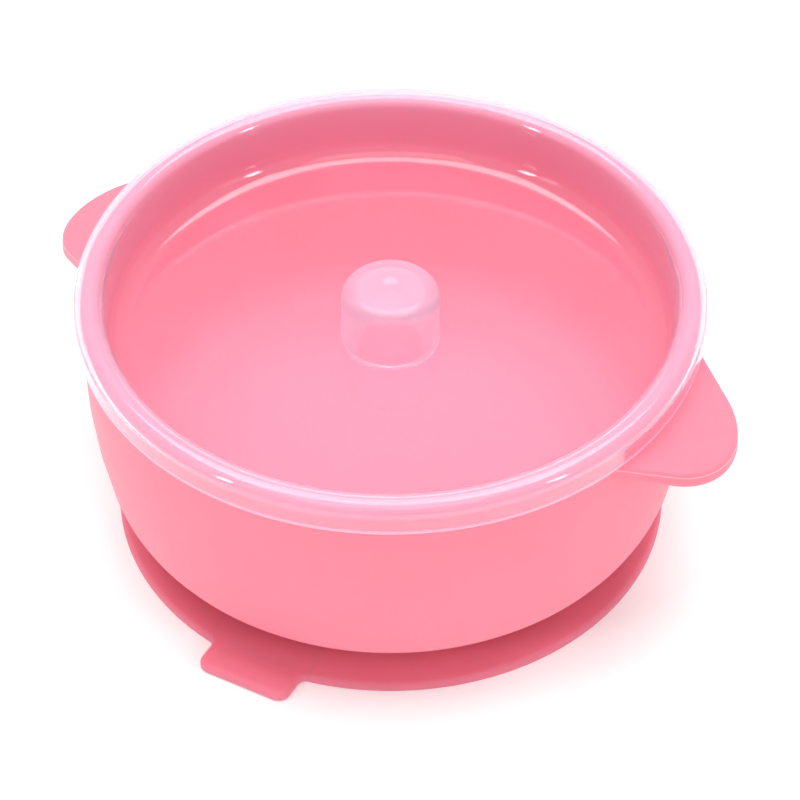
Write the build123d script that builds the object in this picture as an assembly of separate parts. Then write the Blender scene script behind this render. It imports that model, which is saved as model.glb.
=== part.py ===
"""Suction bowl for a small child: a soft silicone bowl on a suction foot, under a clear lift-off lid.

Frame: millimetres, +Z up. The origin is the centre of the foot's underside, on the bowl's axis.
The two ear handles point along +X and -X, and the pull tab that frees the foot points along -Y.
"""
from build123d import *
from math import asin, atan2, cos, degrees, radians, sin, sqrt
import os

# ---- driving dimensions -------------------------------------------------------------------------

# bowl wall
RIM_R = 62.6            # outside of the wall at the rim
RIM_Z = 57.7            # top of the rim
BOWL_BASE_Z = 5.5       # underside of the bowl's floor
WALL = 3.6              # silicone thickness of wall and floor
STRAIGHT_Z = 44.0       # the wall is upright above this height
SIDE_ARC_R = 125.0      # slow curve of the side below STRAIGHT_Z
CORNER_R = 14.0         # quick curve from side to floor, outside

# ear handles
EAR_TIP_X = 76.4        # reach of each ear from the axis
EAR_TIP_R = 15.0        # radius of the round tip, seen from above
EAR_TIP_TURN = 55       # the tip's arc reaches this many degrees to each side
EAR_ROOT_Z = 50.7       # top of the ear where it leaves the wall
EAR_DROOP = 19.4        # degrees the ear slopes down towards its tip
EAR_THICK = 3.2
EAR_EDGE_ROUND = 0.8

# suction foot
FOOT_R = 57.5
FOOT_EDGE_Z = 1.7       # top of the thin outer edge
FOOT_EDGE_ROUND = 0.6
LIP_R = 52.5            # the flat lip that lies on the table reaches from here to FOOT_R
NECK_R = 42.5           # neck between foot and bowl
NECK_ROOT_Z = 3.5       # top of the foot beside the neck
CAVITY_RISE = 3.4       # height of the hollow under the foot, at the axis

# pull tab
TAB_END_Y = -64.0
TAB_HALF_W = 10.2
TAB_THICK = 2.0
TAB_BASE_Z = 0.2        # the tab stands just clear of the table
TAB_GAP = 0.35          # room between tab and foot edge, where the silicone flexes
TAB_CORNER_R = 2.4
TAB_EDGE_ROUND = 0.5

# lid
LID_T = 1.0             # sheet thickness
LID_R = 64.0            # outside of the skirt
LID_TOP_Z = 58.9
SKIRT_Z = 51.9          # lower edge of the skirt
LID_SHOULDER_R = 2.9    # outer rounding of the lid's rim
LID_BROW_R = 3.0        # inner rounding of the lid's rim
RECESS_TOP_R = 57.8     # inside of the sunk wall, at its top
RECESS_BOTTOM_R = 57.3  # and where it meets the cove
COVE_R = 3.8            # cove between the sunk wall and the panel
PANEL_Z = 44.8          # top of the flat panel

# knob: a hollow cup, open underneath, with a small dish in its top
KNOB_R = 10.0
KNOB_TOP_Z = 57.9
KNOB_ROUND = 3.0
KNOB_ROOT_ROUND = 0.4
KNOB_WALL = 3.0         # the knob's side wall is thicker than the sheet
KNOB_TOP_T = 1.5
KNOB_INNER_ROUND = 0.6
DISH_R = 2.8
DISH_DEPTH = 0.5


# ---- helpers ------------------------------------------------------------------------------------

def turned(outline):
    """Solid of revolution about Z from a closed outline of edges in the XZ plane."""
    face = make_face(outline)
    return revolve(face, axis=Axis.Z, revolution_arc=360)


def arc_through(centre, radius, start, end):
    """Arc about (r, z) centre from angle start to angle end, in degrees from +r towards +z."""
    def at(angle):
        return (centre[0] + radius * cos(radians(angle)), 0, centre[1] + radius * sin(radians(angle)))
    return ThreePointArc(at(start), at((start + end) / 2), at(end))


def rz(r, z):
    """Point of a radial section."""
    return (r, 0, z)


# ---- bowl ---------------------------------------------------------------------------------------

def wall_section(inset):
    """Half-section of the wall, inset from the outer surface: edges from the rim down to the axis.

    The upright wall starts below the half-round rim. It runs into the slow side arc, and that into the
    corner arc and the flat floor.
    """
    side_centre = (RIM_R - SIDE_ARC_R, STRAIGHT_Z)
    corner_z = BOWL_BASE_Z + CORNER_R
    drop = STRAIGHT_Z - corner_z
    between = SIDE_ARC_R - CORNER_R
    corner_centre = (side_centre[0] + sqrt(between ** 2 - drop ** 2), corner_z)
    turn = -degrees(asin(drop / between))
    side_r = SIDE_ARC_R - inset
    corner_r = CORNER_R - inset
    floor_z = BOWL_BASE_Z + inset
    return [
        Line(rz(RIM_R - inset, RIM_Z - WALL / 2), rz(RIM_R - inset, STRAIGHT_Z)),
        arc_through(side_centre, side_r, 0, turn),
        arc_through(corner_centre, corner_r, turn, -90),
        Line(rz(corner_centre[0], floor_z), rz(0, floor_z)),
    ]


def bowl_cup():
    """The bowl without its ears: a cup of even wall thickness with a half-round rim."""
    rim = arc_through((RIM_R - WALL / 2, RIM_Z - WALL / 2), WALL / 2, 0, 180)
    axis = Line(rz(0, BOWL_BASE_Z), rz(0, BOWL_BASE_Z + WALL))
    return turned(wall_section(0) + wall_section(WALL) + [rim, axis])


def ear_plate(side):
    """One ear handle: a sloping plate with straight flanks that meet in a broad round tip."""
    turn = radians(EAR_TIP_TURN)
    shoulder_x = EAR_TIP_X - EAR_TIP_R * (1 - cos(turn))
    shoulder_y = EAR_TIP_R * sin(turn)
    root_x = RIM_R - WALL / 2
    root_y = shoulder_y + (shoulder_x - root_x) / sin(turn) * cos(turn)
    outline = make_face([
        Line((root_x, -root_y), (shoulder_x, -shoulder_y)),
        ThreePointArc((shoulder_x, -shoulder_y), (EAR_TIP_X, 0), (shoulder_x, shoulder_y)),
        Line((shoulder_x, shoulder_y), (root_x, root_y)),
        Line((root_x, root_y), (root_x, -root_y)),
    ])
    prism = extrude(outline, RIM_Z)
    slab = Pos(RIM_R, 0, EAR_ROOT_Z) * Rot(0, EAR_DROOP, 0) * Box(
        2 * EAR_TIP_X, 2 * EAR_TIP_X, EAR_THICK, align=(Align.CENTER, Align.CENTER, Align.MAX))
    plate = prism & slab
    broad = plate.faces().filter_by(lambda face: abs(face.normal_at().Z) > 0.8)
    edges = broad.edges().filter_by(lambda edge: edge.center().X > root_x + 0.1)
    plate = fillet(edges, EAR_EDGE_ROUND)
    return plate if side > 0 else Rot(0, 0, 180) * plate


def bowl():
    """The bowl and its ears, moulded together."""
    cup = bowl_cup()
    bore = Pos(0, 0, BOWL_BASE_Z) * Cylinder(
        RIM_R - WALL / 2, RIM_Z, align=(Align.CENTER, Align.CENTER, Align.MIN))
    ears = [ear_plate(side) - bore for side in (1, -1)]
    return cup + ears


# ---- suction foot -------------------------------------------------------------------------------

def suction_cup():
    """The foot: a thin disc with a flat lip, a shallow dome hollow beneath and a neck on top."""
    cavity_r = (LIP_R ** 2 + CAVITY_RISE ** 2) / (2 * CAVITY_RISE)
    half_angle = degrees(atan2(LIP_R, cavity_r - CAVITY_RISE))
    outline = [
        Line(rz(0, BOWL_BASE_Z), rz(NECK_R, BOWL_BASE_Z)),
        Line(rz(NECK_R, BOWL_BASE_Z), rz(NECK_R, NECK_ROOT_Z)),
        Line(rz(NECK_R, NECK_ROOT_Z), rz(FOOT_R, FOOT_EDGE_Z)),
        Line(rz(FOOT_R, FOOT_EDGE_Z), rz(FOOT_R, 0)),
        Line(rz(FOOT_R, 0), rz(LIP_R, 0)),
        arc_through((0, CAVITY_RISE - cavity_r), cavity_r, 90 - half_angle, 90),
        Line(rz(0, CAVITY_RISE), rz(0, BOWL_BASE_Z)),
    ]
    foot = turned(outline)
    edge = foot.edges().filter_by(GeomType.CIRCLE).sort_by(Axis.Z)
    outer_top = [e for e in edge if abs(e.radius - FOOT_R) < 0.01 and e.center().Z > FOOT_EDGE_Z - 0.01]
    return fillet(outer_top, FOOT_EDGE_ROUND)


def pull_tab():
    """Tongue on the foot's edge that a finger lifts to let air under the foot."""
    length = -TAB_END_Y
    blank = Pos(0, -length / 2, TAB_BASE_Z) * Box(
        2 * TAB_HALF_W, length, TAB_THICK, align=(Align.CENTER, Align.CENTER, Align.MIN))
    corners = blank.edges().filter_by(Axis.Z).sort_by(Axis.Y)[:2]
    blank = fillet(corners, TAB_CORNER_R)
    clear = Pos(0, 0, TAB_BASE_Z - 1) * Cylinder(
        FOOT_R + TAB_GAP, TAB_THICK + 2, align=(Align.CENTER, Align.CENTER, Align.MIN))
    tab = blank - clear
    rim = tab.edges().filter_by(Plane.XY).filter_by_position(Axis.Z, TAB_BASE_Z + TAB_THICK - 0.01,
                                                             TAB_BASE_Z + TAB_THICK + 0.01)
    outer = [e for e in rim if e.center().Y < -FOOT_R - TAB_GAP or abs(e.center().X) > 1]
    return fillet(outer, TAB_EDGE_ROUND)


# ---- lid ----------------------------------------------------------------------------------------

def lid_section():
    """Closed half-section of the lid: upper surface outwards from the knob, lower surface back."""
    shoulder = (LID_R - LID_SHOULDER_R, LID_TOP_Z - LID_SHOULDER_R)
    brow = (RECESS_TOP_R + LID_BROW_R, LID_TOP_Z - LID_BROW_R)
    cove = (RECESS_BOTTOM_R - COVE_R, PANEL_Z + COVE_R)
    knob_round = (KNOB_R - KNOB_ROUND, KNOB_TOP_Z - KNOB_ROUND)
    knob_root = (KNOB_R + KNOB_ROOT_ROUND, PANEL_Z + KNOB_ROOT_ROUND)
    dish_r = (DISH_R ** 2 + DISH_DEPTH ** 2) / (2 * DISH_DEPTH)
    dish_turn = degrees(asin(DISH_R / dish_r))
    upper = [
        arc_through((0, KNOB_TOP_Z - DISH_DEPTH + dish_r), dish_r, -90, dish_turn - 90),
        Line(rz(DISH_R, KNOB_TOP_Z), rz(knob_round[0], KNOB_TOP_Z)),
        arc_through(knob_round, KNOB_ROUND, 90, 0),
        Line(rz(KNOB_R, knob_round[1]), rz(KNOB_R, knob_root[1])),
        arc_through(knob_root, KNOB_ROOT_ROUND, 180, 270),
        Line(rz(knob_root[0], PANEL_Z), rz(cove[0], PANEL_Z)),
        arc_through(cove, COVE_R, -90, 0),
        Line(rz(RECESS_BOTTOM_R, cove[1]), rz(RECESS_TOP_R, brow[1])),
        arc_through(brow, LID_BROW_R, 180, 90),
        Line(rz(brow[0], LID_TOP_Z), rz(shoulder[0], LID_TOP_Z)),
        arc_through(shoulder, LID_SHOULDER_R, 90, 0),
        Line(rz(LID_R, shoulder[1]), rz(LID_R, SKIRT_Z)),
    ]
    knob_in = KNOB_R - KNOB_WALL
    ceiling_z = KNOB_TOP_Z - KNOB_TOP_T
    knob_inner = (knob_in - KNOB_INNER_ROUND, ceiling_z - KNOB_INNER_ROUND)
    under_z = PANEL_Z - LID_T
    lower = [
        Line(rz(LID_R, SKIRT_Z), rz(LID_R - LID_T, SKIRT_Z)),
        Line(rz(LID_R - LID_T, SKIRT_Z), rz(LID_R - LID_T, shoulder[1])),
        arc_through(shoulder, LID_SHOULDER_R - LID_T, 0, 90),
        Line(rz(shoulder[0], LID_TOP_Z - LID_T), rz(brow[0], LID_TOP_Z - LID_T)),
        arc_through(brow, LID_BROW_R - LID_T, 90, 180),
        Line(rz(RECESS_TOP_R + LID_T, brow[1]), rz(RECESS_BOTTOM_R + LID_T, cove[1])),
        arc_through(cove, COVE_R + LID_T, 0, -90),
        Line(rz(cove[0], under_z), rz(knob_in, under_z)),
        Line(rz(knob_in, under_z), rz(knob_in, knob_inner[1])),
        arc_through(knob_inner, KNOB_INNER_ROUND, 0, 90),
        Line(rz(knob_inner[0], ceiling_z), rz(0, ceiling_z)),
        Line(rz(0, ceiling_z), rz(0, KNOB_TOP_Z - DISH_DEPTH)),
    ]
    return upper + lower


def lid():
    """The clear lid, one moulding with its hollow knob."""
    return turned(lid_section())


# ---- write the nodes ----------------------------------------------------------------------------

NODES = {
    "bowl": bowl,
    "suction_cup": suction_cup,
    "pull_tab": pull_tab,
    "lid": lid,
}

os.makedirs("parts", exist_ok=True)
for name, make in NODES.items():
    shape = make()
    export_step(shape, f"parts/{name}.step")
    box = shape.bounding_box()
    print(name, len(shape.solids()), "solid", round(shape.volume), "mm3", box.min, box.max)
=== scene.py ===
"""Looks for the suction bowl: soft pink silicone bowl, suction foot and pull tab under a milky clear lid.

Everything is in metres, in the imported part's frame: +Z up, origin under the middle of the foot, ears along
X, pull tab towards -Y. Outlines are half-sections of (r, z) points turned about the Z axis.
"""
from math import asin, atan2, cos, degrees, hypot, pi, radians, sin, sqrt, tan

import bmesh
import bpy
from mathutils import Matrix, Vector


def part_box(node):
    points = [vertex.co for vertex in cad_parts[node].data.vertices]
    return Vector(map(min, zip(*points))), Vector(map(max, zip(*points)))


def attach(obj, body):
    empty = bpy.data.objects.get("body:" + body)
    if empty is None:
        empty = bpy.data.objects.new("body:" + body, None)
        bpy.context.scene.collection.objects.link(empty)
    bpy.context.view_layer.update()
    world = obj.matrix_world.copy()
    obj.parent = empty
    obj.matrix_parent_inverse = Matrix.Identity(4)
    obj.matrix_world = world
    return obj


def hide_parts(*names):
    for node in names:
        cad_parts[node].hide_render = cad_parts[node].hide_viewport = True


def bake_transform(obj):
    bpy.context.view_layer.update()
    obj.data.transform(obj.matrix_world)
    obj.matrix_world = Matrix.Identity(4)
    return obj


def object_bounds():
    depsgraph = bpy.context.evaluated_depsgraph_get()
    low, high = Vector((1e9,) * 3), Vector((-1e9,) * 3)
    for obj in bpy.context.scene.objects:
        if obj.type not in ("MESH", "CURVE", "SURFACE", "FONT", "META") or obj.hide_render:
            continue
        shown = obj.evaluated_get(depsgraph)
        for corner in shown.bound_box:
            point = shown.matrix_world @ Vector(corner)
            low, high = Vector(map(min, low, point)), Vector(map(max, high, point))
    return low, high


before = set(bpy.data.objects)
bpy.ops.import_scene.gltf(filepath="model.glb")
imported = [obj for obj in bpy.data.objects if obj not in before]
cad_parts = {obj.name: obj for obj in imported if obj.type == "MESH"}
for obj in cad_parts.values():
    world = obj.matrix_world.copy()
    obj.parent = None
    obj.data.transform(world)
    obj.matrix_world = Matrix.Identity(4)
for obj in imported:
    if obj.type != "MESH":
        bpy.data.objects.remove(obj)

MM = 0.001
CAD_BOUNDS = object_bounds()

# ---- sizes read from the frame ------------------------------------------------------------------

BOWL_LOW, BOWL_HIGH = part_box("bowl")
FOOT_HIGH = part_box("suction_cup")[1]
TAB_LOW, TAB_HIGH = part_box("pull_tab")
LID_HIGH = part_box("lid")[1]

RIM_R = BOWL_HIGH.y             # the ears only reach further along X
RIM_Z = BOWL_HIGH.z
BASE_Z = BOWL_LOW.z
EAR_TIP_X = BOWL_HIGH.x
FOOT_R = FOOT_HIGH.x
LID_R = LID_HIGH.x
LID_TOP_Z = LID_HIGH.z
TAB_END_Y = TAB_LOW.y
TAB_HALF_W = TAB_HIGH.x

# ---- shape of each piece ------------------------------------------------------------------------

WALL = 3.6 * MM                 # silicone thickness
STRAIGHT_Z = 44.0 * MM          # the wall is upright above this height
SIDE_ARC_R = 125.0 * MM
CORNER_R = 14.0 * MM

EAR_ROOT_Z = 50.7 * MM          # top of the ear where it leaves the wall
EAR_DROOP = radians(19.4)       # the ear slopes down towards its tip
EAR_THICK = 3.39 * MM           # measured upright
EAR_EDGE_ROUND = 0.8 * MM
EAR_TOP_ROOT_ROUND = 0.3 * MM   # fillets between ear and wall, above and below
EAR_LOW_ROOT_ROUND = 1.3 * MM
EAR_TIP_R = 15.0 * MM           # the outline is a round tip between straight flanks
EAR_TIP_TURN = radians(55)
EAR_PARTING_STEP = 0.12 * MM    # the mould's parting line runs under the upper edge round
EAR_END = radians(18)           # no ear beyond this angle from the X axis
EAR_FLARE = 0.8 * MM            # softening where the flank runs into the wall, seen from above
EAR_SEARCH_R = RIM_R - 6.0 * MM     # the outline is looked for from this radius to the tip
EAR_HALVINGS = 40               # and the search interval is halved this many times
EAR_BAND_POINTS = 56            # points of a section across the ear's height
EAR_FINE_HALF = 23              # columns stand closer together up to this many degrees from the X axis
EAR_FINE_STEP = 0.3             # and this many degrees apart there

FOOT_EDGE_Z = 1.7 * MM
FOOT_EDGE_ROUND = 1.1 * MM
LIP_R = 52.5 * MM
NECK_R = 42.5 * MM
NECK_ROOT_Z = 3.5 * MM
NECK_ROUND = 0.9 * MM
CAVITY_RISE = 3.4 * MM
CAVITY_STEPS = 40
UNDER_ROUND = 0.25 * MM         # tiny round on the foot's and the tab's lower edge

TAB_TOP_Z = TAB_HIGH.z
TAB_INNER_Y = -49.0 * MM        # the tongue runs inwards over the disc to here
TAB_CORNER_R = 2.4 * MM
TAB_EDGE_ROUND = 1.1 * MM
TAB_CORNER_MIN = 0.05 * MM      # radius left at the corners of the innermost outlines
TAB_SIDE_STEPS = 20
TAB_RING_STEP = 0.8 * MM        # between the outlines across its flat top
TAB_MIDDLE_GAP = 0.3 * MM       # where they stop short of the middle line
TAB_RISE_START = -56.5 * MM     # the tongue starts to rise out of the disc here,
TAB_RISE_END = -60.0 * MM       # and it reaches its full height here
TAB_PROUD = 0.04 * MM           # above the disc's surface where it starts to rise
TAB_DIP = 0.09 * MM             # further in it drops by this over TAB_DIP_LENGTH, out of sight
TAB_DIP_LENGTH = 1.0 * MM
TAB_NOTCH_START = -58.4 * MM    # the sides flare into the disc's edge from here
TAB_NOTCH_END = -56.2 * MM
TAB_NOTCH_FLARE = 1.8 * MM

LID_T = 1.0 * MM
SKIRT_Z = 51.9 * MM
SKIRT_EDGE_ROUND = 0.45 * MM
SHOULDER_R = 2.9 * MM
BROW_R = 3.0 * MM
RECESS_TOP_R = 57.8 * MM
RECESS_BOTTOM_R = 57.3 * MM
COVE_R = 3.8 * MM
PANEL_Z = 44.8 * MM
KNOB_R = 10.0 * MM
KNOB_TOP_Z = 57.9 * MM
KNOB_ROUND = 3.0 * MM
KNOB_ROOT_ROUND = 0.4 * MM
KNOB_T = 3.0 * MM
KNOB_TOP_T = 1.5 * MM
KNOB_INNER_ROUND = 0.6 * MM
DISH_R = 2.8 * MM
DISH_DEPTH = 0.5 * MM

COLUMNS = 256                   # columns of a turned piece
ARC_STEP = radians(7.5)
CREASE = radians(40)            # edges sharper than this stay crisp
SUPPORT = 0.12 * MM             # a ring this close to each end keeps flat stretches flat when shaded
SAME_POINT = 0.0001 * MM        # points of an outline closer than this are one
TURN_LENGTH = 0.9 * MM          # a radian of turn counts as this much length where points are spaced out
QUARTER = [pi / 2 * i / 10 for i in range(11)]      # angles across a quarter round

# ---- colours and looks --------------------------------------------------------------------------

PINK_PALE = (0.90, 0.238, 0.330)
PINK_DEEP = (0.885, 0.224, 0.312)
PINK_EDGE_HIGHLIGHT = (0.98, 0.42, 0.52)          # painted highlight: a paler line round each ear along the mould's parting line
LINE_CORE, LINE_FADE = 0.10 * MM, 0.20 * MM         # its half width, sharp and faded out
LINE_START, LINE_FULL = 0.2 * MM, 0.8 * MM          # how far outside the wall it begins

LID_TINT = (0.98, 0.935, 0.97)
LID_ROUGHNESS = 0.06
HAZE_LIT = (0.93, 0.77, 0.97)           # the haze as it sends light back, and on through
HAZE_THROUGH = (0.97, 0.81, 0.98)
LAMP_TINT_PANEL = (0.98, 0.945, 0.985)  # what lamp light keeps of its colour under the panel
LAMP_TINT_RIM = (0.97, 0.935, 0.97)     # and under the rim

HAZE_LOW = 0.115                # share of each face that is haze, on the sunk panel
HAZE_HIGH = 0.21                # and on the thicker rim and the knob's top
HAZE_LOW_Z = 44.9 * MM
HAZE_HIGH_Z = 48.5 * MM
EDGE_HIGHLIGHT_HAZE = 0.4                 # added on the skirt's lower edge: a milkier edge, with a painted highlight line in it
SKIRT_HAZE = -0.15              # the skirt itself is clearer than the rim's top
SHOULDER_HAZE = 0.18            # and its round shoulder is as milky as the top again
KNOB_HAZE = 0.19                # added on the knob

FLOOR_HALF = 6.0
FLOOR_TONES = (0.90, 0.94, 0.935), (0.92, 0.96, 0.955)
FLOOR_GLOW = 0.17               # keeps the pale floor from taking up the bowl's pink

WORLD_STRENGTH = 0.34
WORLD_THROUGH_LID = 0.65        # added for rays that have passed through the clear plastic
LIGHT_BOUNCES = 12              # light is mirrored many times inside the knob's thick wall

CAMERA_AZIMUTH = 28.6           # degrees round from the pull tab, towards +X
CAMERA_ELEVATION = 45.25
CAMERA_DISTANCE = 0.7785        # from the origin
CAMERA_AIM_RIGHT = 0.00249      # small turns that centre the object as the photograph has it
CAMERA_AIM_UP = 0.02421
CAMERA_LENS = 164.7             # on a 36 mm wide sensor

# name, degrees round from the camera, elevation, distance, width, height, power in watts, colour
SOFT_BOXES = (
    ("top", 180, 80, 1.6, 1.8, 1.2, 32.0, (1.0, 0.98, 0.95)),
    ("front", 0, 58, 2.0, 1.6, 1.0, 6.0, (1.0, 1.0, 1.0)),
    ("right", 55, 25, 1.6, 0.14, 0.42, 3.0, (1.0, 1.0, 1.0)),
    ("left", -55, 25, 1.6, 0.14, 0.42, 3.0, (1.0, 1.0, 1.0)),
)


# ---- outlines -----------------------------------------------------------------------------------

def arc(centre, radius, start, end):
    """Points on an arc about (r, z) centre, from angle start to end in degrees from +r towards +z."""
    steps = max(3, round(abs(radians(end - start)) / ARC_STEP))
    angles = [radians(start + (end - start) * i / steps) for i in range(steps + 1)]
    return [(centre[0] + radius * cos(a), centre[1] + radius * sin(a)) for a in angles]


def run(start, end):
    """The two ends of a straight stretch, with a support point just inside each."""
    length = hypot(end[0] - start[0], end[1] - start[1])
    if length < 4 * SUPPORT:
        return [start, end]
    share = SUPPORT / length
    inner = [(start[0] + (end[0] - start[0]) * t, start[1] + (end[1] - start[1]) * t)
             for t in (share, 1 - share)]
    return [start, *inner, end]


def joined(*stretches):
    """One outline from stretches that meet end to end."""
    points = []
    for point in (p for stretch in stretches for p in stretch):
        if not points or hypot(point[0] - points[-1][0], point[1] - points[-1][1]) > SAME_POINT:
            points.append(point)
    return points


def spaced(points, count):
    """count points along an outline, closer together where it turns."""
    marks = [0.0]
    heading = None
    for a, b in zip(points, points[1:]):
        new = atan2(b[1] - a[1], b[0] - a[0])
        turn = 0.0 if heading is None else abs((new - heading + pi) % (2 * pi) - pi)
        heading = new
        marks.append(marks[-1] + hypot(b[0] - a[0], b[1] - a[1]) + turn * TURN_LENGTH)
    out = []
    at = 0
    for i in range(count):
        goal = marks[-1] * i / (count - 1)
        while at < len(marks) - 2 and marks[at + 1] < goal:
            at += 1
        t = (goal - marks[at]) / max(marks[at + 1] - marks[at], 1e-12)
        a, b = points[at], points[at + 1]
        out.append((a[0] + (b[0] - a[0]) * t, a[1] + (b[1] - a[1]) * t))
    return out


# ---- meshes -------------------------------------------------------------------------------------

def finished(name, bm, material):
    """A scene object from a bmesh: outward normals, smooth faces, crisp edges above CREASE."""
    bmesh.ops.recalc_face_normals(bm, faces=bm.faces)
    for face in bm.faces:
        face.smooth = True
    for edge in bm.edges:
        edge.smooth = len(edge.link_faces) == 2 and edge.calc_face_angle(0) < CREASE
    mesh = bpy.data.meshes.new(name)
    bm.to_mesh(mesh)
    bm.free()
    mesh.materials.append(material)
    piece = bpy.data.objects.new(name, mesh)
    bpy.context.scene.collection.objects.link(piece)
    return piece


def turned(name, sections, angles, material):
    """A closed piece from one outline per angle; an outline's ends lie on the axis and are shared."""
    bm = bmesh.new()
    first = bm.verts.new((0, 0, sections[0][0][1]))
    last = bm.verts.new((0, 0, sections[0][-1][1]))
    columns = []
    for section, angle in zip(sections, angles):
        c, s = cos(angle), sin(angle)
        columns.append([bm.verts.new((r * c, r * s, z)) for r, z in section[1:-1]])
    for left, right in zip(columns, columns[1:] + columns[:1]):
        bm.faces.new((first, left[0], right[0]))
        bm.faces.new((last, right[-1], left[-1]))
        for i in range(len(left) - 1):
            bm.faces.new((left[i], left[i + 1], right[i + 1], right[i]))
    return finished(name, bm, material)


def lathe(name, section, material):
    angles = [2 * pi * i / COLUMNS for i in range(COLUMNS)]
    return turned(name, [section] * COLUMNS, angles, material)


# ---- bowl with its two ears ---------------------------------------------------------------------

def wall_arcs():
    """Centre and end angle of the side arc, and centre of the corner arc, for the outer surface."""
    side = (RIM_R - SIDE_ARC_R, STRAIGHT_Z)
    corner_z = BASE_Z + CORNER_R
    between = SIDE_ARC_R - CORNER_R
    drop = STRAIGHT_Z - corner_z
    corner = (side[0] + sqrt(between ** 2 - drop ** 2), corner_z)
    return side, corner, degrees(asin(drop / between))


def ear_edge_x(y):
    """Where the ear's outline lies at this distance from its middle line."""
    shoulder_y = EAR_TIP_R * sin(EAR_TIP_TURN)
    if y <= shoulder_y:
        return EAR_TIP_X - EAR_TIP_R + sqrt(EAR_TIP_R ** 2 - y ** 2)
    shoulder_x = EAR_TIP_X - EAR_TIP_R * (1 - cos(EAR_TIP_TURN))
    return shoulder_x - (y - shoulder_y) * tan(EAR_TIP_TURN)


def ear_reach(angle):
    """How far an ear stands out of the wall at this angle from the X axis, softened where it runs in."""
    c, s = abs(cos(angle)), abs(sin(angle))
    near, far = EAR_SEARCH_R, EAR_TIP_X
    for _ in range(EAR_HALVINGS):
        r = (near + far) / 2
        if r * c < ear_edge_x(r * s):
            near = r
        else:
            far = r
    out = (near + far) / 2 - RIM_R
    if out >= EAR_FLARE:
        return out
    return max(0.0, out + EAR_FLARE) ** 2 / (4 * EAR_FLARE)


def ear_top(r, angle):
    """Height of the ear's sloping upper face; beyond the ear it stays at the height of the ear's end."""
    return EAR_ROOT_Z - (r * max(abs(cos(angle)), cos(EAR_END)) - RIM_R) * tan(EAR_DROOP)


def ear_side(reach, root, short):
    """Root fillet, flat face and edge round of one side of an ear, as r and depth below that face."""
    rounds = root + EAR_EDGE_ROUND
    squeeze = min(1.0, reach / rounds)
    straight = max(0.0, reach - rounds - short)
    points = []
    for a in QUARTER:
        points.append((RIM_R + root * (1 - cos(a)) * squeeze, -root * (1 - sin(a))))
    for a in reversed(QUARTER):
        points.append((RIM_R + (root + EAR_EDGE_ROUND * cos(a)) * squeeze + straight,
                       EAR_EDGE_ROUND * (1 - sin(a))))
    return points


def ear_band(reach, angle):
    """The part of a section that an ear can take up, from below it to above it, on the upright wall."""
    upper = [(r, ear_top(r, angle) - depth)
             for r, depth in ear_side(reach, EAR_TOP_ROOT_ROUND, EAR_PARTING_STEP)]
    lower = [(r, ear_top(r, angle) - EAR_THICK + depth)
             for r, depth in ear_side(reach, EAR_LOW_ROOT_ROUND, 0)]
    return joined(lower, reversed(upper))


def bowl_section(reach, angle):
    """Half-section of the bowl from the underside's middle, up the outside and down the inside."""
    side, corner, turn = wall_arcs()
    band = spaced(ear_band(reach, angle), EAR_BAND_POINTS)
    band_low = band[0][1]
    band_high = band[-1][1]
    rim = (RIM_R - WALL / 2, RIM_Z - WALL / 2)
    floor_z = BASE_Z + WALL
    below = joined(
        run((0, BASE_Z), (corner[0], BASE_Z)),
        arc(corner, CORNER_R, -90, -turn),
        arc(side, SIDE_ARC_R, -turn, 0),
        run((RIM_R, STRAIGHT_Z), (RIM_R, band_low)),
    )
    above = joined(
        run((RIM_R, band_high), (RIM_R, rim[1])),
        arc(rim, WALL / 2, 0, 180),
        run((RIM_R - WALL, rim[1]), (RIM_R - WALL, STRAIGHT_Z)),
        arc(side, SIDE_ARC_R - WALL, 0, -turn),
        arc(corner, CORNER_R - WALL, -turn, -90),
        run((corner[0], floor_z), (0, floor_z)),
    )
    return below[:-1] + band + above[1:]


def bowl_angles():
    """Column angles: a degree apart round the wall, and closer together across each ear."""
    angles = []
    for side in (0, 180):
        count = round(2 * EAR_FINE_HALF / EAR_FINE_STEP)
        angles += [side - EAR_FINE_HALF + EAR_FINE_STEP * i for i in range(count)]
        angles += [side + EAR_FINE_HALF + i for i in range(180 - 2 * EAR_FINE_HALF)]
    return [radians(a) for a in angles]


def make_bowl(material):
    angles = bowl_angles()
    sections = [bowl_section(ear_reach(a), a) for a in angles]
    return turned("bowl_shell", sections, angles, material)


# ---- suction foot and pull tab ------------------------------------------------------------------

def disc_top(r):
    """Height of the foot's upper face between its edge and the neck."""
    return FOOT_EDGE_Z + (NECK_ROOT_Z - FOOT_EDGE_Z) * (FOOT_R - r) / (FOOT_R - NECK_R)


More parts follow.
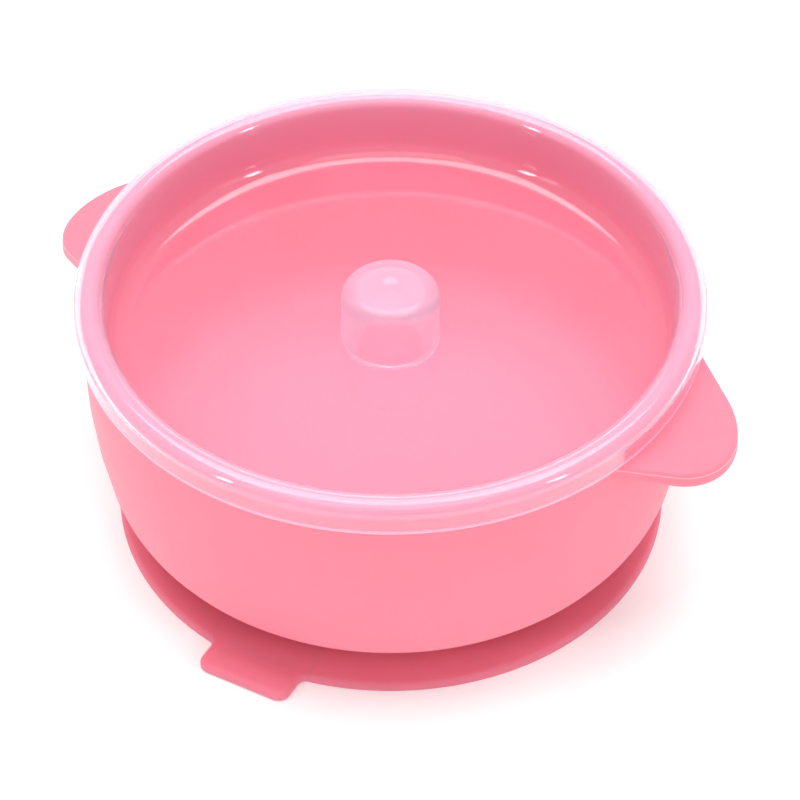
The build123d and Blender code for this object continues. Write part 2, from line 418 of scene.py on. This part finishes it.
def make_foot(material):
    """Thin disc with a lip that lies on the table, a shallow hollow beneath and a neck on top."""
    slope = atan2(NECK_ROOT_Z - FOOT_EDGE_Z, FOOT_R - NECK_R)
    c, s = cos(slope), sin(slope)
    edge = (FOOT_R - FOOT_EDGE_ROUND, disc_top(FOOT_R - FOOT_EDGE_ROUND) - FOOT_EDGE_ROUND / c)
    root = (NECK_R + NECK_ROUND, disc_top(NECK_R + NECK_ROUND) + NECK_ROUND / c)
    cavity_r = (LIP_R ** 2 + CAVITY_RISE ** 2) / (2 * CAVITY_RISE)
    half = atan2(LIP_R, cavity_r - CAVITY_RISE)
    cavity = [half * (1 - i / CAVITY_STEPS) for i in range(CAVITY_STEPS + 1)]
    section = joined(
        run((0, BASE_Z), (NECK_R, BASE_Z)),
        run((NECK_R, BASE_Z), (NECK_R, root[1])),
        arc(root, NECK_ROUND, 180, 270 - degrees(slope)),
        run((root[0] - NECK_ROUND * s, root[1] - NECK_ROUND * c),
            (edge[0] + FOOT_EDGE_ROUND * s, edge[1] + FOOT_EDGE_ROUND * c)),
        arc(edge, FOOT_EDGE_ROUND, 90 - degrees(slope), 0),
        run((FOOT_R, edge[1]), (FOOT_R, UNDER_ROUND)),
        arc((FOOT_R - UNDER_ROUND, UNDER_ROUND), UNDER_ROUND, 0, -90),
        run((FOOT_R - UNDER_ROUND, 0), (LIP_R, 0)),
        [(cavity_r * sin(a), CAVITY_RISE - cavity_r + cavity_r * cos(a)) for a in cavity],
    )
    return lathe("suction_foot", section, material)


def tab_top(y):
    """Height of the tongue's middle: it carries on from the disc's slope and rises to full height."""
    inside = disc_top(-max(y, TAB_RISE_START)) + TAB_PROUD
    if y >= TAB_RISE_START:
        return inside - TAB_DIP * min(1.0, (y - TAB_RISE_START) / TAB_DIP_LENGTH)
    t = min(1.0, (TAB_RISE_START - y) / (TAB_RISE_START - TAB_RISE_END))
    return inside + (TAB_TOP_Z - inside) * t * t * (3 - 2 * t)


def tab_flare(y):
    """How far the sides curve outwards where they meet the disc's edge."""
    t = min(1.0, max(0.0, (y - TAB_NOTCH_START) / (TAB_NOTCH_END - TAB_NOTCH_START)))
    return TAB_NOTCH_FLARE * (1 - sqrt(1 - t * t))


def tab_ring(depth):
    """The tongue's outline moved inwards by depth, square at its hidden inner end."""
    corner_r = max(TAB_CORNER_R - depth, TAB_CORNER_MIN)
    corner_x = TAB_HALF_W - depth - corner_r
    corner_y = TAB_END_Y + depth + corner_r
    right = []
    for i in range(TAB_SIDE_STEPS):
        y = TAB_INNER_Y + (corner_y - TAB_INNER_Y) * i / TAB_SIDE_STEPS
        right.append((TAB_HALF_W - depth + tab_flare(y), y))
    right += [(corner_x + corner_r * cos(a), corner_y - corner_r * sin(a)) for a in QUARTER]
    return right + [(-x, y) for x, y in reversed(right)]


def make_tab(material):
    """Flat tongue with round corners and soft edges that grows out of the disc's edge."""
    bm = bmesh.new()
    rings = [[bm.verts.new((x, y, TAB_LOW.z)) for x, y in tab_ring(UNDER_ROUND)],
             [bm.verts.new((x, y, TAB_LOW.z + UNDER_ROUND)) for x, y in tab_ring(0)]]
    for a in QUARTER:
        depth, drop = TAB_EDGE_ROUND * (1 - cos(a)), TAB_EDGE_ROUND * (1 - sin(a))
        rings.append([bm.verts.new((x, y, tab_top(y) - drop)) for x, y in tab_ring(depth)])
    depth = TAB_EDGE_ROUND + SUPPORT
    while depth < TAB_HALF_W - TAB_MIDDLE_GAP:
        rings.append([bm.verts.new((x, y, tab_top(y))) for x, y in tab_ring(depth)])
        depth += TAB_RING_STEP
    for a, b in zip(rings, rings[1:]):
        n = len(a)
        for i in range(n):
            j = (i + 1) % n
            bm.faces.new((a[i], a[j], b[j], b[i]))
    bm.faces.new(rings[0])
    bm.faces.new(rings[-1])
    return finished("pull_tab_tongue", bm, material)


# ---- lid ----------------------------------------------------------------------------------------

def lid_section():
    """Closed half-section: over the top from the knob's middle to the skirt's edge, then back beneath."""
    shoulder = (LID_R - SHOULDER_R, LID_TOP_Z - SHOULDER_R)
    brow = (RECESS_TOP_R + BROW_R, LID_TOP_Z - BROW_R)
    cove = (RECESS_BOTTOM_R - COVE_R, PANEL_Z + COVE_R)
    knob = (KNOB_R - KNOB_ROUND, KNOB_TOP_Z - KNOB_ROUND)
    root = (KNOB_R + KNOB_ROOT_ROUND, PANEL_Z + KNOB_ROOT_ROUND)
    dish_r = (DISH_R ** 2 + DISH_DEPTH ** 2) / (2 * DISH_DEPTH)
    dish_turn = degrees(asin(DISH_R / dish_r))
    inside_r = KNOB_R - KNOB_T
    ceiling_z = KNOB_TOP_Z - KNOB_TOP_T
    under_z = PANEL_Z - LID_T
    hollow = (inside_r - KNOB_INNER_ROUND, ceiling_z - KNOB_INNER_ROUND)
    edge = SKIRT_EDGE_ROUND
    return joined(
        arc((0, KNOB_TOP_Z - DISH_DEPTH + dish_r), dish_r, -90, dish_turn - 90),
        run((DISH_R, KNOB_TOP_Z), (knob[0], KNOB_TOP_Z)),
        arc(knob, KNOB_ROUND, 90, 0),
        run((KNOB_R, knob[1]), (KNOB_R, root[1])),
        arc(root, KNOB_ROOT_ROUND, 180, 270),
        run((root[0], PANEL_Z), (cove[0], PANEL_Z)),
        arc(cove, COVE_R, -90, 0),
        run((RECESS_BOTTOM_R, cove[1]), (RECESS_TOP_R, brow[1])),
        arc(brow, BROW_R, 180, 90),
        run((brow[0], LID_TOP_Z), (shoulder[0], LID_TOP_Z)),
        arc(shoulder, SHOULDER_R, 90, 0),
        run((LID_R, shoulder[1]), (LID_R, SKIRT_Z + edge)),
        arc((LID_R - edge, SKIRT_Z + edge), edge, 0, -90),
        arc((LID_R - LID_T + edge, SKIRT_Z + edge), edge, -90, -180),
        run((LID_R - LID_T, SKIRT_Z + edge), (LID_R - LID_T, shoulder[1])),
        arc(shoulder, SHOULDER_R - LID_T, 0, 90),
        run((shoulder[0], LID_TOP_Z - LID_T), (brow[0], LID_TOP_Z - LID_T)),
        arc(brow, BROW_R - LID_T, 90, 180),
        run((RECESS_TOP_R + LID_T, brow[1]), (RECESS_BOTTOM_R + LID_T, cove[1])),
        arc(cove, COVE_R + LID_T, 0, -90),
        run((cove[0], under_z), (inside_r, under_z)),
        run((inside_r, under_z), (inside_r, hollow[1])),
        arc(hollow, KNOB_INNER_ROUND, 0, 90),
        run((hollow[0], ceiling_z), (0, ceiling_z)),
    )


def make_lid(material):
    return lathe("lid_shell", lid_section(), material)


# ---- materials ----------------------------------------------------------------------------------

def new_material(name):
    material = bpy.data.materials.new(name)
    material.use_nodes = True
    tree = material.node_tree
    tree.nodes.clear()
    return material, tree


def add(tree, kind, **values):
    """A node of this kind with its inputs and properties set by name."""
    node = tree.nodes.new(kind)
    for key, value in values.items():
        if hasattr(node, key):
            setattr(node, key, value)
        else:
            node.inputs[key.replace("_", " ")].default_value = value
    return node


def noise(tree, where, scale, detail=3.0, roughness=0.5):
    node = add(tree, "ShaderNodeTexNoise", Scale=scale, Detail=detail, Roughness=roughness)
    tree.links.new(where, node.inputs["Vector"])
    return node.outputs["Fac"]


def ranged(tree, value, low, high, from_low=0.3, from_high=0.7):
    """value brought from one range to another and held at its ends."""
    node = add(tree, "ShaderNodeMapRange", From_Min=from_low, From_Max=from_high, To_Min=low, To_Max=high)
    tree.links.new(value, node.inputs["Value"])
    return node.outputs["Result"]


def calculated(tree, operation, *values):
    """A Math node on linked outputs and plain numbers."""
    node = add(tree, "ShaderNodeMath", operation=operation)
    for socket, value in zip(node.inputs, values):
        if isinstance(value, bpy.types.NodeSocket):
            tree.links.new(value, socket)
        else:
            socket.default_value = value
    return node.outputs["Value"]


def height_and_radius(tree, where):
    """The coordinates z, r and x of the point being shaded."""
    split = add(tree, "ShaderNodeSeparateXYZ")
    tree.links.new(where, split.inputs["Vector"])
    flat = add(tree, "ShaderNodeVectorMath", operation="MULTIPLY")
    flat.inputs[1].default_value = (1, 1, 0)
    tree.links.new(where, flat.inputs[0])
    radius = add(tree, "ShaderNodeVectorMath", operation="LENGTH")
    tree.links.new(flat.outputs["Vector"], radius.inputs[0])
    return split.outputs["Z"], radius.outputs["Value"], split.outputs["X"]


def mixed_colour(tree, share, first, second):
    """From first to second, which are linked outputs or plain colours, as share goes from 0 to 1."""
    node = add(tree, "ShaderNodeMix", data_type="RGBA")
    tree.links.new(share, node.inputs["Factor"])
    for socket, value in ((node.inputs["A"], first), (node.inputs["B"], second)):
        if isinstance(value, bpy.types.NodeSocket):
            tree.links.new(value, socket)
        else:
            socket.default_value = (*value, 1)
    return node.outputs["Result"]


def mixed_shader(tree, share, first, second):
    node = add(tree, "ShaderNodeMixShader")
    if isinstance(share, bpy.types.NodeSocket):
        tree.links.new(share, node.inputs["Fac"])
    else:
        node.inputs["Fac"].default_value = share
    tree.links.new(first, node.inputs[1])
    tree.links.new(second, node.inputs[2])
    return node.outputs["Shader"]


def plain_shader(tree, kind, colour):
    node = add(tree, kind)
    node.inputs["Color"].default_value = (*colour, 1)
    return node.outputs["BSDF"]


def show(tree, shader):
    out = add(tree, "ShaderNodeOutputMaterial")
    tree.links.new(shader, out.inputs["Surface"])


def painted_edge_highlight(tree, where):
    """1 on the painted highlight line round each ear, along the mould's parting line just under its upper
    edge round.
    """
    height, radius, x = height_and_radius(tree, where)
    level = calculated(tree, "MULTIPLY_ADD", calculated(tree, "ABSOLUTE", x), tan(EAR_DROOP), height)
    line_level = EAR_ROOT_Z - EAR_EDGE_ROUND + RIM_R * tan(EAR_DROOP)
    apart = calculated(tree, "ABSOLUTE", calculated(tree, "SUBTRACT", level, line_level))
    near = ranged(tree, apart, 1.0, 0.0, LINE_CORE, LINE_FADE)
    beyond = ranged(tree, radius, 0.0, 1.0, RIM_R + LINE_START, RIM_R + LINE_FULL)
    return calculated(tree, "MULTIPLY", near, beyond)


def silicone():
    """Satin pink silicone: soft subsurface, faint clouding, a fine moulded grain, uneven gloss and a painted
    highlight line round each ear.
    """
    material, tree = new_material("pink_silicone")
    where = add(tree, "ShaderNodeTexCoord").outputs["Object"]
    clouds = noise(tree, where, 28.0, 4.0)
    colour = mixed_colour(tree, ranged(tree, clouds, 0.0, 1.0), PINK_DEEP, PINK_PALE)
    # painted highlight: a paler line round each ear, under its upper edge round
    colour = mixed_colour(tree, painted_edge_highlight(tree, where), colour, PINK_EDGE_HIGHLIGHT)
    grain = noise(tree, where, 1800.0, 2.0)
    smudge = noise(tree, where, 60.0, 5.0)
    bump = add(tree, "ShaderNodeBump", Strength=0.08, Distance=0.03 * MM)
    tree.links.new(grain, bump.inputs["Height"])
    surface = add(tree, "ShaderNodeBsdfPrincipled", Subsurface_Weight=0.35, Subsurface_Scale=3.0 * MM,
                  IOR=1.42, Specular_IOR_Level=0.45, Sheen_Weight=0.1, Sheen_Roughness=0.5)
    surface.inputs["Subsurface Radius"].default_value = (1.0, 0.35, 0.4)
    tree.links.new(colour, surface.inputs["Base Color"])
    tree.links.new(ranged(tree, smudge, 0.52, 0.62), surface.inputs["Roughness"])
    tree.links.new(bump.outputs["Normal"], surface.inputs["Normal"])
    show(tree, surface.outputs["BSDF"])
    return material


def haze_share(tree, where):
    """How much of the plastic is haze: least on the panel, more on the rim and knob, and on the skirt's
    edge, where it also paints a pale highlight line.
    """
    height, radius, _ = height_and_radius(tree, where)
    fog = ranged(tree, noise(tree, where, 45.0), 0.92, 1.08)
    share = ranged(tree, height, HAZE_LOW, HAZE_HIGH, HAZE_LOW_Z, HAZE_HIGH_Z)
    share = calculated(tree, "MULTIPLY", share, fog)
    outside = ranged(tree, radius, 0.0, 1.0, LID_R - 1.4 * MM, LID_R - 1.1 * MM)
    # painted highlight: extra haze in a thin line on the skirt's lower edge; the skirt above it is clearer
    edge_highlight_and_skirt_haze = ranged(tree, height, EDGE_HIGHLIGHT_HAZE, SKIRT_HAZE, SKIRT_Z + 0.35 * MM, SKIRT_Z + 0.75 * MM)
    shoulder = ranged(tree, height, 0.0, SHOULDER_HAZE, LID_TOP_Z - 3.4 * MM, LID_TOP_Z - 2.4 * MM)
    share = calculated(tree, "MULTIPLY_ADD", outside, calculated(tree, "ADD", edge_highlight_and_skirt_haze, shoulder), share)
    on_knob = ranged(tree, radius, KNOB_HAZE, 0.0, KNOB_R + 0.05 * MM, KNOB_R + 0.35 * MM)
    return calculated(tree, "ADD", share, on_knob)


def lid_plastic():
    """Milky clear plastic: glossy glass with a thin haze in it, which lamp light passes straight through."""
    material, tree = new_material("milky_clear_plastic")
    where = add(tree, "ShaderNodeTexCoord").outputs["Object"]
    bump = add(tree, "ShaderNodeBump", Strength=0.05, Distance=0.05 * MM)
    tree.links.new(noise(tree, where, 140.0, 2.0), bump.inputs["Height"])
    glass = add(tree, "ShaderNodeBsdfPrincipled", Transmission_Weight=1.0, IOR=1.49, Roughness=LID_ROUGHNESS)
    glass.inputs["Base Color"].default_value = (*LID_TINT, 1)
    tree.links.new(bump.outputs["Normal"], glass.inputs["Normal"])
    haze = mixed_shader(tree, 0.5, plain_shader(tree, "ShaderNodeBsdfDiffuse", HAZE_LIT),
                        plain_shader(tree, "ShaderNodeBsdfTranslucent", HAZE_THROUGH))
    body = mixed_shader(tree, haze_share(tree, where), glass.outputs["BSDF"], haze)
    height = height_and_radius(tree, where)[0]
    tint = mixed_colour(tree, ranged(tree, height, 0.0, 1.0, HAZE_LOW_Z, HAZE_HIGH_Z),
                        LAMP_TINT_PANEL, LAMP_TINT_RIM)
    clear = add(tree, "ShaderNodeBsdfTransparent")
    tree.links.new(tint, clear.inputs["Color"])
    path = add(tree, "ShaderNodeLightPath")
    # soft light from the silicone inside goes straight out too, or the lamps would be counted twice
    seen = mixed_shader(tree, path.outputs["Is Diffuse Ray"], body, clear.outputs["BSDF"])
    show(tree, mixed_shader(tree, path.outputs["Is Shadow Ray"], seen, clear.outputs["BSDF"]))
    return material


# ---- stage --------------------------------------------------------------------------------------

def make_floor():
    """A wide pale floor with a little tone in it."""
    material, tree = new_material("pale_floor")
    where = add(tree, "ShaderNodeTexCoord").outputs["Object"]
    tone = mixed_colour(tree, ranged(tree, noise(tree, where, 3.0), 0.0, 1.0), *FLOOR_TONES)
    surface = add(tree, "ShaderNodeBsdfPrincipled", Roughness=0.8, Emission_Strength=FLOOR_GLOW)
    surface.inputs["Emission Color"].default_value = (1, 1, 1, 1)
    tree.links.new(tone, surface.inputs["Base Color"])
    show(tree, surface.outputs["BSDF"])
    bm = bmesh.new()
    bmesh.ops.create_grid(bm, x_segments=8, y_segments=8, size=FLOOR_HALF)
    floor = finished("floor", bm, material)
    floor.location.z = CAD_BOUNDS[0].z


def direction(azimuth, elevation):
    """Unit vector towards a point this many degrees round from the pull tab and above the table."""
    a, e = radians(azimuth), radians(elevation)
    return Vector((sin(a) * cos(e), -cos(a) * cos(e), sin(e)))


def placed(name, data, location, rotation):
    thing = bpy.data.objects.new(name, data)
    thing.location = location
    thing.rotation_mode = "QUATERNION"
    thing.rotation_quaternion = rotation
    bpy.context.scene.collection.objects.link(thing)
    return thing


def make_camera():
    """Long lens from above, at the photograph's angle."""
    back = direction(CAMERA_AZIMUTH, CAMERA_ELEVATION)
    right = direction(CAMERA_AZIMUTH + 90, 0)
    forward = -back + right * CAMERA_AIM_RIGHT + back.cross(right) * CAMERA_AIM_UP
    data = bpy.data.cameras.new("camera")
    data.sensor_width = 36.0
    data.lens = CAMERA_LENS
    data.clip_start = 0.01
    data.clip_end = 50.0
    camera = placed("camera", data, back * CAMERA_DISTANCE, forward.to_track_quat("-Z", "Y"))
    bpy.context.scene.camera = camera


def make_soft_box(name, azimuth, elevation, distance, width, height, power, colour):
    """A soft box that looks at the object from this direction, out of every camera's sight."""
    data = bpy.data.lights.new(name, "AREA")
    data.shape = "RECTANGLE"
    data.size, data.size_y = width, height
    data.energy = power
    data.color = colour
    back = direction(CAMERA_AZIMUTH + azimuth, elevation)
    placed(name, data, back * distance, back.to_track_quat("Z", "Y")).visible_camera = False


def make_light():
    """White surroundings, brighter as seen through the clear plastic, and the soft boxes."""
    world = bpy.data.worlds.new("studio")
    world.use_nodes = True
    tree = world.node_tree
    surroundings = tree.nodes["Background"]
    surroundings.inputs["Color"].default_value = (1, 1, 1, 1)
    through = add(tree, "ShaderNodeLightPath").outputs["Is Transmission Ray"]
    strength = calculated(tree, "MULTIPLY_ADD", through, WORLD_THROUGH_LID, WORLD_STRENGTH)
    tree.links.new(strength, surroundings.inputs["Strength"])
    scene = bpy.context.scene
    scene.world = world
    for box in SOFT_BOXES:
        make_soft_box(*box)
    scene.view_settings.view_transform = "Standard"
    scene.cycles.glossy_bounces = LIGHT_BOUNCES


# ---- the object ---------------------------------------------------------------------------------

pink = silicone()

bowl = make_bowl(pink)
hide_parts("bowl")
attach(bowl, "bowl")

foot = make_foot(pink)
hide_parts("suction_cup")
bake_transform(foot)

tab = make_tab(pink)
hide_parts("pull_tab")
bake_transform(tab)

lid = make_lid(lid_plastic())
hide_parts("lid")
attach(lid, "lid")

make_floor()
make_light()
make_camera()
